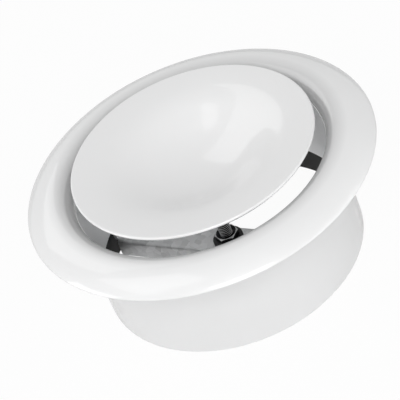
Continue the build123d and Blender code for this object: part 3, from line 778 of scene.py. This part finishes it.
for r, z in (
    (THREAD_R - 0.3, GROOVE_TOP + 1.2),
    (CREST_OUT_R, GROOVE_TOP + 0.9),
    (CREST_OUT_R, GROOVE_TOP),
    (GROOVE_R, GROOVE_TOP),
    (GROOVE_R, GROOVE_TOP - GROOVE_WIDTH),
    (CREST_OUT_R, GROOVE_TOP - GROOVE_WIDTH),
    (CREST_OUT_R, SPINDLE_TAIL + 0.4),
    (THREAD_R - 0.45, SPINDLE_TAIL),
    (0, SPINDLE_TAIL),
):
    point = run(tail, point, r, z)
turned(tail, steps=48)
mesh = bpy.data.meshes.new("tail")
tail.to_mesh(mesh)
tail.free()
bm.from_mesh(mesh)
bpy.data.meshes.remove(mesh)
finished("threaded_spindle", bm, rod_oxide, "black_steel", "spindle", "spindle", sharp=40)
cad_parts["end_clip"].data.materials.clear()
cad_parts["end_clip"].data.materials.append(nut_oxide)

# ---------------------------------------------------------------- disc
# The dished front plate, pressed from one round of sheet: a shallow bowl that rolls
# over to a flatter margin, with its edge curled back into a bead. Enamelled white.
BOWL_EDGE_R, SHOULDER_R, MARGIN_R, STEEP, LEAN, DISC_SHEET = 26.0, 34.0, 46.0, 25.0, 8.0, 0.9
CURL_R, CURL_CENTRE_R, CURL_CENTRE_Z, CURL_TURN, CURL_BACK_R = 0.8, 56.2, 11.7, 235, 54.7
disc_enamel = enamel("disc enamel", (0.87, 0.872, 0.874, 1), 0.3, drift=0.015)

steep, lean = radians(STEEP), radians(LEAN)
bowl_r = BOWL_EDGE_R / sin(steep)
shoulder_bend_r = (MARGIN_R - SHOULDER_R) / (sin(steep) - sin(lean))
curl_start = (CURL_CENTRE_R - CURL_R * sin(lean), CURL_CENTRE_Z + CURL_R * cos(lean))
margin_z = curl_start[1] - (curl_start[0] - MARGIN_R) * tan(lean)
shoulder_z = margin_z - shoulder_bend_r * (cos(lean) - cos(steep))
bowl_edge_z = shoulder_z - (SHOULDER_R - BOWL_EDGE_R) * tan(steep)
dish_z = bowl_edge_z - bowl_r * (1 - cos(steep))
bm = bmesh.new()
edges = []
for under in (0, DISC_SHEET):
    face = start(bm, 0, dish_z - under)
    face = bend(bm, face, 0, dish_z + bowl_r, STEEP, 30)
    face = run(bm, face, SHOULDER_R + under * sin(steep), shoulder_z - under * cos(steep))
    shoulder_centre = (SHOULDER_R + shoulder_bend_r * sin(steep), shoulder_z - shoulder_bend_r * cos(steep))
    edges.append(bend(bm, face, *shoulder_centre, LEAN - STEEP, 12))
front = run(bm, edges[0], *curl_start)
curl = bend(bm, front, CURL_CENTRE_R, CURL_CENTRE_Z, -CURL_TURN, 18)
curl_back_z = margin_z + (CURL_BACK_R - MARGIN_R) * tan(lean) - DISC_SHEET / cos(lean)
back = run(bm, edges[1], CURL_BACK_R, curl_back_z)
bm.edges.new((back, curl))
turned(bm)
finished("dished_disc", bm, disc_enamel, "white_enamel", "disc", "valve_disc", sharp=50)

# ---------------------------------------------------------------- boss and plate
# Behind the bowl: a round stiffening plate pressed to its curve and spot-welded on,
# with a turned boss welded in its middle that takes the spindle, and a jam nut.
PLATE_R, PLATE_SHEET, WELD_GAP = 19.0, 1.2, 0.02
BOSS_R, BOSS_BOTTOM, BOSS_BLIND, BOSS_TOP, THREAD_GAP, THIN_NUT = 6.5, -8.0, -4.2, -3.4, 0.04, 3.2
plate_steel = plated("plate zinc", (0.58, 0.585, 0.59), 0.2, 20.0, lines=500.0, scratch=0.05)
boss_steel = plated("turned boss", (0.55, 0.55, 0.555), 0.22, "round", lines=2500.0, scratch=0.12)

sphere_z, plate_front = dish_z + bowl_r, bowl_r + DISC_SHEET + WELD_GAP
bm = bmesh.new()
hole_lean = asin((BOSS_R - 0.5) / plate_front)
plate_sweep = degrees(asin(PLATE_R / plate_front) - hole_lean)
ends = []
for face_r in (plate_front, plate_front + PLATE_SHEET):
    ends.append(start(bm, face_r * sin(hole_lean), sphere_z - face_r * cos(hole_lean)))
    ends.append(bend(bm, ends[-1], 0, sphere_z, plate_sweep, 10))
bm.edges.new((ends[1], ends[3]))
bm.edges.new((ends[0], ends[2]))
soften(bm, [ends[3]], 0.35)
turned(bm, steps=120)
finished("stiffening_plate", bm, plate_steel, "bright_steel", "disc", "disc_plate")

bm = bmesh.new()
thread_r = THREAD_R + THREAD_GAP
first = start(bm, thread_r, BOSS_BLIND)
point = first
for r, z in (
    (thread_r, BOSS_BOTTOM + 0.4),
    (thread_r + 0.4, BOSS_BOTTOM),
    (BOSS_R - 0.6, BOSS_BOTTOM),
    (BOSS_R, BOSS_BOTTOM + 0.6),
    (BOSS_R, BOSS_TOP - 1.8),
    (BOSS_R + 0.5, BOSS_TOP - 1.2),
    (BOSS_R + 1.6, BOSS_TOP - 0.5),
    (BOSS_R, BOSS_TOP),
    (0, BOSS_TOP),
    (0, BOSS_BLIND),
):
    point = run(bm, point, r, z)
bm.edges.new((point, first))
turned(bm, steps=96)
finished("spindle_boss", bm, boss_steel, "bright_steel", "disc", "disc_boss")
bm = hexagon_nut(BOSS_BOTTOM - 0.01, THIN_NUT)
finished("jam_nut_black", bm, nut_oxide, "black_steel", "disc", "jam_nut", sharp=25)

# ---------------------------------------------------------------- lock nut
# Hexagon nut with a crown rolled over a nylon ring, which grips the thread. It is run
# down on the hub's nut once the opening is set, and here it stands backed off.
LOCK_TOP, LOCK_BOTTOM, LOCK_HEX, CROWN_R, CROWN_ROUND = -21.8, -27.4, 4.4, 4.6, 0.5
INSERT_R, INSERT_SEAT, INSERT_DEPTH = 3.85, 1.18, 0.1
nylon, tree, surface = shader("natural nylon")
flow = placed(tree, enamel_flow, Colour=(0.72, 0.74, 0.70, 1), Drift=0.06, Gloss=0.35, Peel_size=1500.0)
tree.links.new(flow.outputs["Colour"], surface.inputs["Base Color"])
tree.links.new(flow.outputs["Roughness"], surface.inputs["Roughness"])
surface.inputs["Subsurface Weight"].default_value = 0.15
surface.inputs["Subsurface Radius"].default_value = (0.001, 0.001, 0.001)

bm = bmesh.new()
face_r, outer_r, hex_top = NUT_FLATS / 2 - 0.2, NUT_FLATS / sqrt(3) + 0.1, LOCK_BOTTOM + LOCK_HEX
drop = (outer_r - face_r) * CHAMFER_SLOPE
first = start(bm, thread_r, LOCK_BOTTOM + 0.4)
point = first
for r, z in (
    (thread_r + 0.4, LOCK_BOTTOM),
    (face_r, LOCK_BOTTOM),
    (outer_r, LOCK_BOTTOM + drop),
    (outer_r, hex_top - drop),
    (CROWN_R + 0.2, hex_top),
    (CROWN_R, hex_top + 0.3),
    (CROWN_R, LOCK_TOP - CROWN_ROUND),
):
    point = run(bm, point, r, z)
point = bend(bm, point, CROWN_R - CROWN_ROUND, LOCK_TOP - CROWN_ROUND, 90, 5)
seat_r, seat_z = INSERT_R + 0.05, LOCK_TOP - INSERT_SEAT
for r, z in ((seat_r, LOCK_TOP), (seat_r, seat_z), (thread_r, seat_z)):
    point = run(bm, point, r, z)
bm.edges.new((point, first))
turned(bm, steps=96)
bm = cut(bm, hexagon(LOCK_BOTTOM - 1, 8), "INTERSECT")
finished("lock_nut_body", bm, nut_oxide, "black_steel", "lock_nut", "lock_nut", sharp=25)

bm = bmesh.new()
corners = [start(bm, THREAD_R + 0.05, seat_z)]
insert_top = LOCK_TOP - INSERT_DEPTH
for r, z in ((INSERT_R, seat_z), (INSERT_R, insert_top), (THREAD_R + 0.05, insert_top)):
    corners.append(run(bm, corners[-1], r, z))
bm.edges.new((corners[-1], corners[0]))
soften(bm, corners[2:], 0.15)
turned(bm, steps=72)
finished("nylon_ring", bm, nylon, "nylon", "lock_ring", "lock_nut_insert")

# ---------------------------------------------------------------- floor, light and camera
# The valve stands on its collar on white paper in an even white room, under a soft key
# from in front, weaker lamps from both sides and behind, and the glow of the paper.
scene = bpy.context.scene
scene.view_settings.view_transform = "Standard"

bm = bmesh.new()
bmesh.ops.create_grid(bm, x_segments=1, y_segments=1, size=6.0)
bmesh.ops.translate(bm, vec=(0, 0, COLLAR_END * MM - 0.0001), verts=bm.verts[:])
mesh = bpy.data.meshes.new("floor")
bm.to_mesh(mesh)
bm.free()
floor = bpy.data.objects.new("floor", mesh)
scene.collection.objects.link(floor)
paper, tree, surface = shader("white paper floor")
surface.inputs["Base Color"].default_value = (0.80, 0.80, 0.80, 1)
surface.inputs["Roughness"].default_value = 0.9
surface.inputs["Specular IOR Level"].default_value = 0.1
rays = node(tree, "LightPath")
glow = node(tree, "Emission", Strength=1.0)
softened = node(tree, "Math", operation="MULTIPLY")
softened.inputs[1].default_value = 0.33
seen = node(tree, "Math", operation="MAXIMUM")
through = node(tree, "Math", operation="MAXIMUM")
share = node(tree, "Math", operation="MULTIPLY")
share.inputs[1].default_value = 0.95
blend = node(tree, "MixShader")
tree.links.new(rays.outputs["Is Camera Ray"], seen.inputs[0])
tree.links.new(rays.outputs["Is Glossy Ray"], softened.inputs[0])
tree.links.new(softened.outputs[0], seen.inputs[1])
tree.links.new(seen.outputs[0], through.inputs[0])
tree.links.new(rays.outputs["Is Transmission Ray"], through.inputs[1])
tree.links.new(through.outputs[0], share.inputs[0])
tree.links.new(share.outputs[0], blend.inputs["Fac"])
tree.links.new(surface.outputs[0], blend.inputs[1])
tree.links.new(glow.outputs[0], blend.inputs[2])
tree.links.new(blend.outputs[0], tree.nodes["Material Output"].inputs["Surface"])
mesh.materials.append(paper)

room = bpy.data.worlds.new("white room")
scene.world = room
room.use_nodes = True
tree = room.node_tree
rays = node(tree, "LightPath")
backdrop = node(tree, "Background", Color=(1, 1, 1, 1), Strength=1.0)
air = tree.nodes["Background"]
air.inputs["Color"].default_value = (0.32, 0.32, 0.32, 1)
seen = node(tree, "Math", operation="MAXIMUM")
through = node(tree, "Math", operation="MAXIMUM")
blend = node(tree, "MixShader")
tree.links.new(rays.outputs["Is Camera Ray"], seen.inputs[0])
tree.links.new(rays.outputs["Is Glossy Ray"], seen.inputs[1])
tree.links.new(seen.outputs[0], through.inputs[0])
tree.links.new(rays.outputs["Is Transmission Ray"], through.inputs[1])
tree.links.new(through.outputs[0], blend.inputs["Fac"])
tree.links.new(air.outputs[0], blend.inputs[1])
tree.links.new(backdrop.outputs[0], blend.inputs[2])
tree.links.new(blend.outputs[0], tree.nodes["World Output"].inputs["Surface"])


LAMP_REACH = 1.3


def lamp(name, azimuth, elevation, size, power):
    """Square soft lamp that looks at the valve from that side."""
    light = bpy.data.lights.new(name, "AREA")
    light.size, light.energy = size, power
    made = bpy.data.objects.new(name, light)
    level = cos(radians(elevation))
    away = Vector((cos(radians(azimuth)) * level, sin(radians(azimuth)) * level, sin(radians(elevation))))
    made.location = away * LAMP_REACH
    made.rotation_euler = away.to_track_quat("Z", "Y").to_euler()
    scene.collection.objects.link(made)


lamp("key", 268, 38, 0.7, 8.2)
lamp("left", 180, 14, 0.7, 3.9)
lamp("right", 332, 14, 1.2, 4.6)
lamp("back", 120, 40, 0.7, 1.3)
lamp("above left", 180, 62, 0.7, 1.5)

# The paper under the open end of the tube glows up into it, unseen itself.
table = bpy.data.lights.new("table", "AREA")
table.shape, table.size, table.energy = "DISK", 0.118, 0.035
glow_up = bpy.data.objects.new("table", table)
glow_up.location = (0, 0, (COLLAR_END + 0.1) * MM)
glow_up.rotation_euler = (pi, 0, 0)
glow_up.visible_camera = glow_up.visible_glossy = False
scene.collection.objects.link(glow_up)

camera = bpy.data.objects.new("camera", bpy.data.cameras.new("camera"))
camera.data.lens, camera.data.sensor_width = 180, 36
stand = Matrix.Translation((-0.00526, -0.70757, 0.55196))
tilt, roll = Matrix.Rotation(radians(51.194), 4, "X"), Matrix.Rotation(radians(-22.953), 4, "Z")
camera.matrix_world = stand @ tilt @ roll
scene.collection.objects.link(camera)
scene.camera = camera
